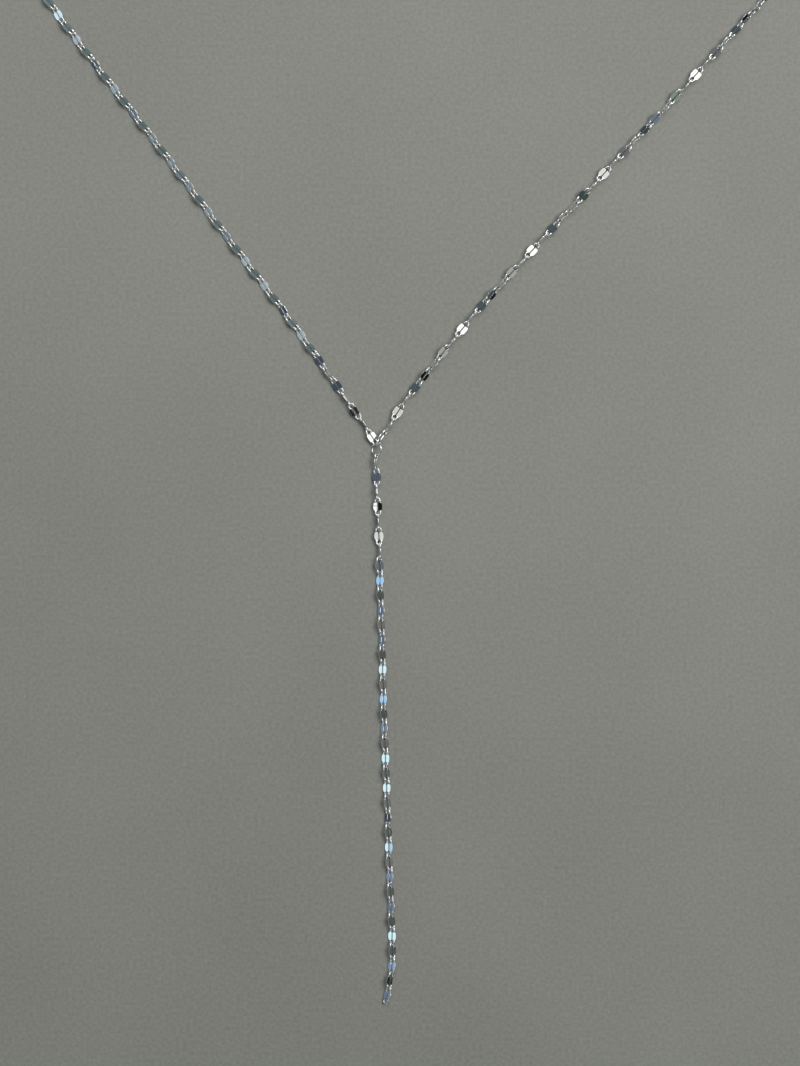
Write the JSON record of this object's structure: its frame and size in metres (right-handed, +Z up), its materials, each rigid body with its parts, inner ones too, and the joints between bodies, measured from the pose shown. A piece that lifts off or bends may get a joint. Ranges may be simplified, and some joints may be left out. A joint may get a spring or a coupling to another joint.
{
  "type": "drop necklace",
  "caption": "Y-shaped silver drop necklace of fine flattened-link chain, laid flat, with a junction ring, a long drop and a spring-ring clasp.",
  "frame": {"origin": "middle of the outline, on the surface that the necklace lies on", "axes": "+Y from the end of the drop to the clasp, +X to the right seen from above, +Z up from the surface"},
  "size_m": [0.161, 0.2466, 0.0029],
  "materials": {
    "silver_chain": "mirror-polished sterling silver",
    "silver_rings": "polished sterling silver",
    "silver_clasp": "polished sterling silver, finely scuffed"
  },
  "bodies": {
    "root": {"chain_left": "silver_chain", "chain_right": "silver_chain", "drop_chain": "silver_chain", "junction_ring": "silver_rings", "clasp": "silver_clasp", "clasp_ring": "silver_rings", "end_ring": "silver_rings"}
  },
  "joints": []
}
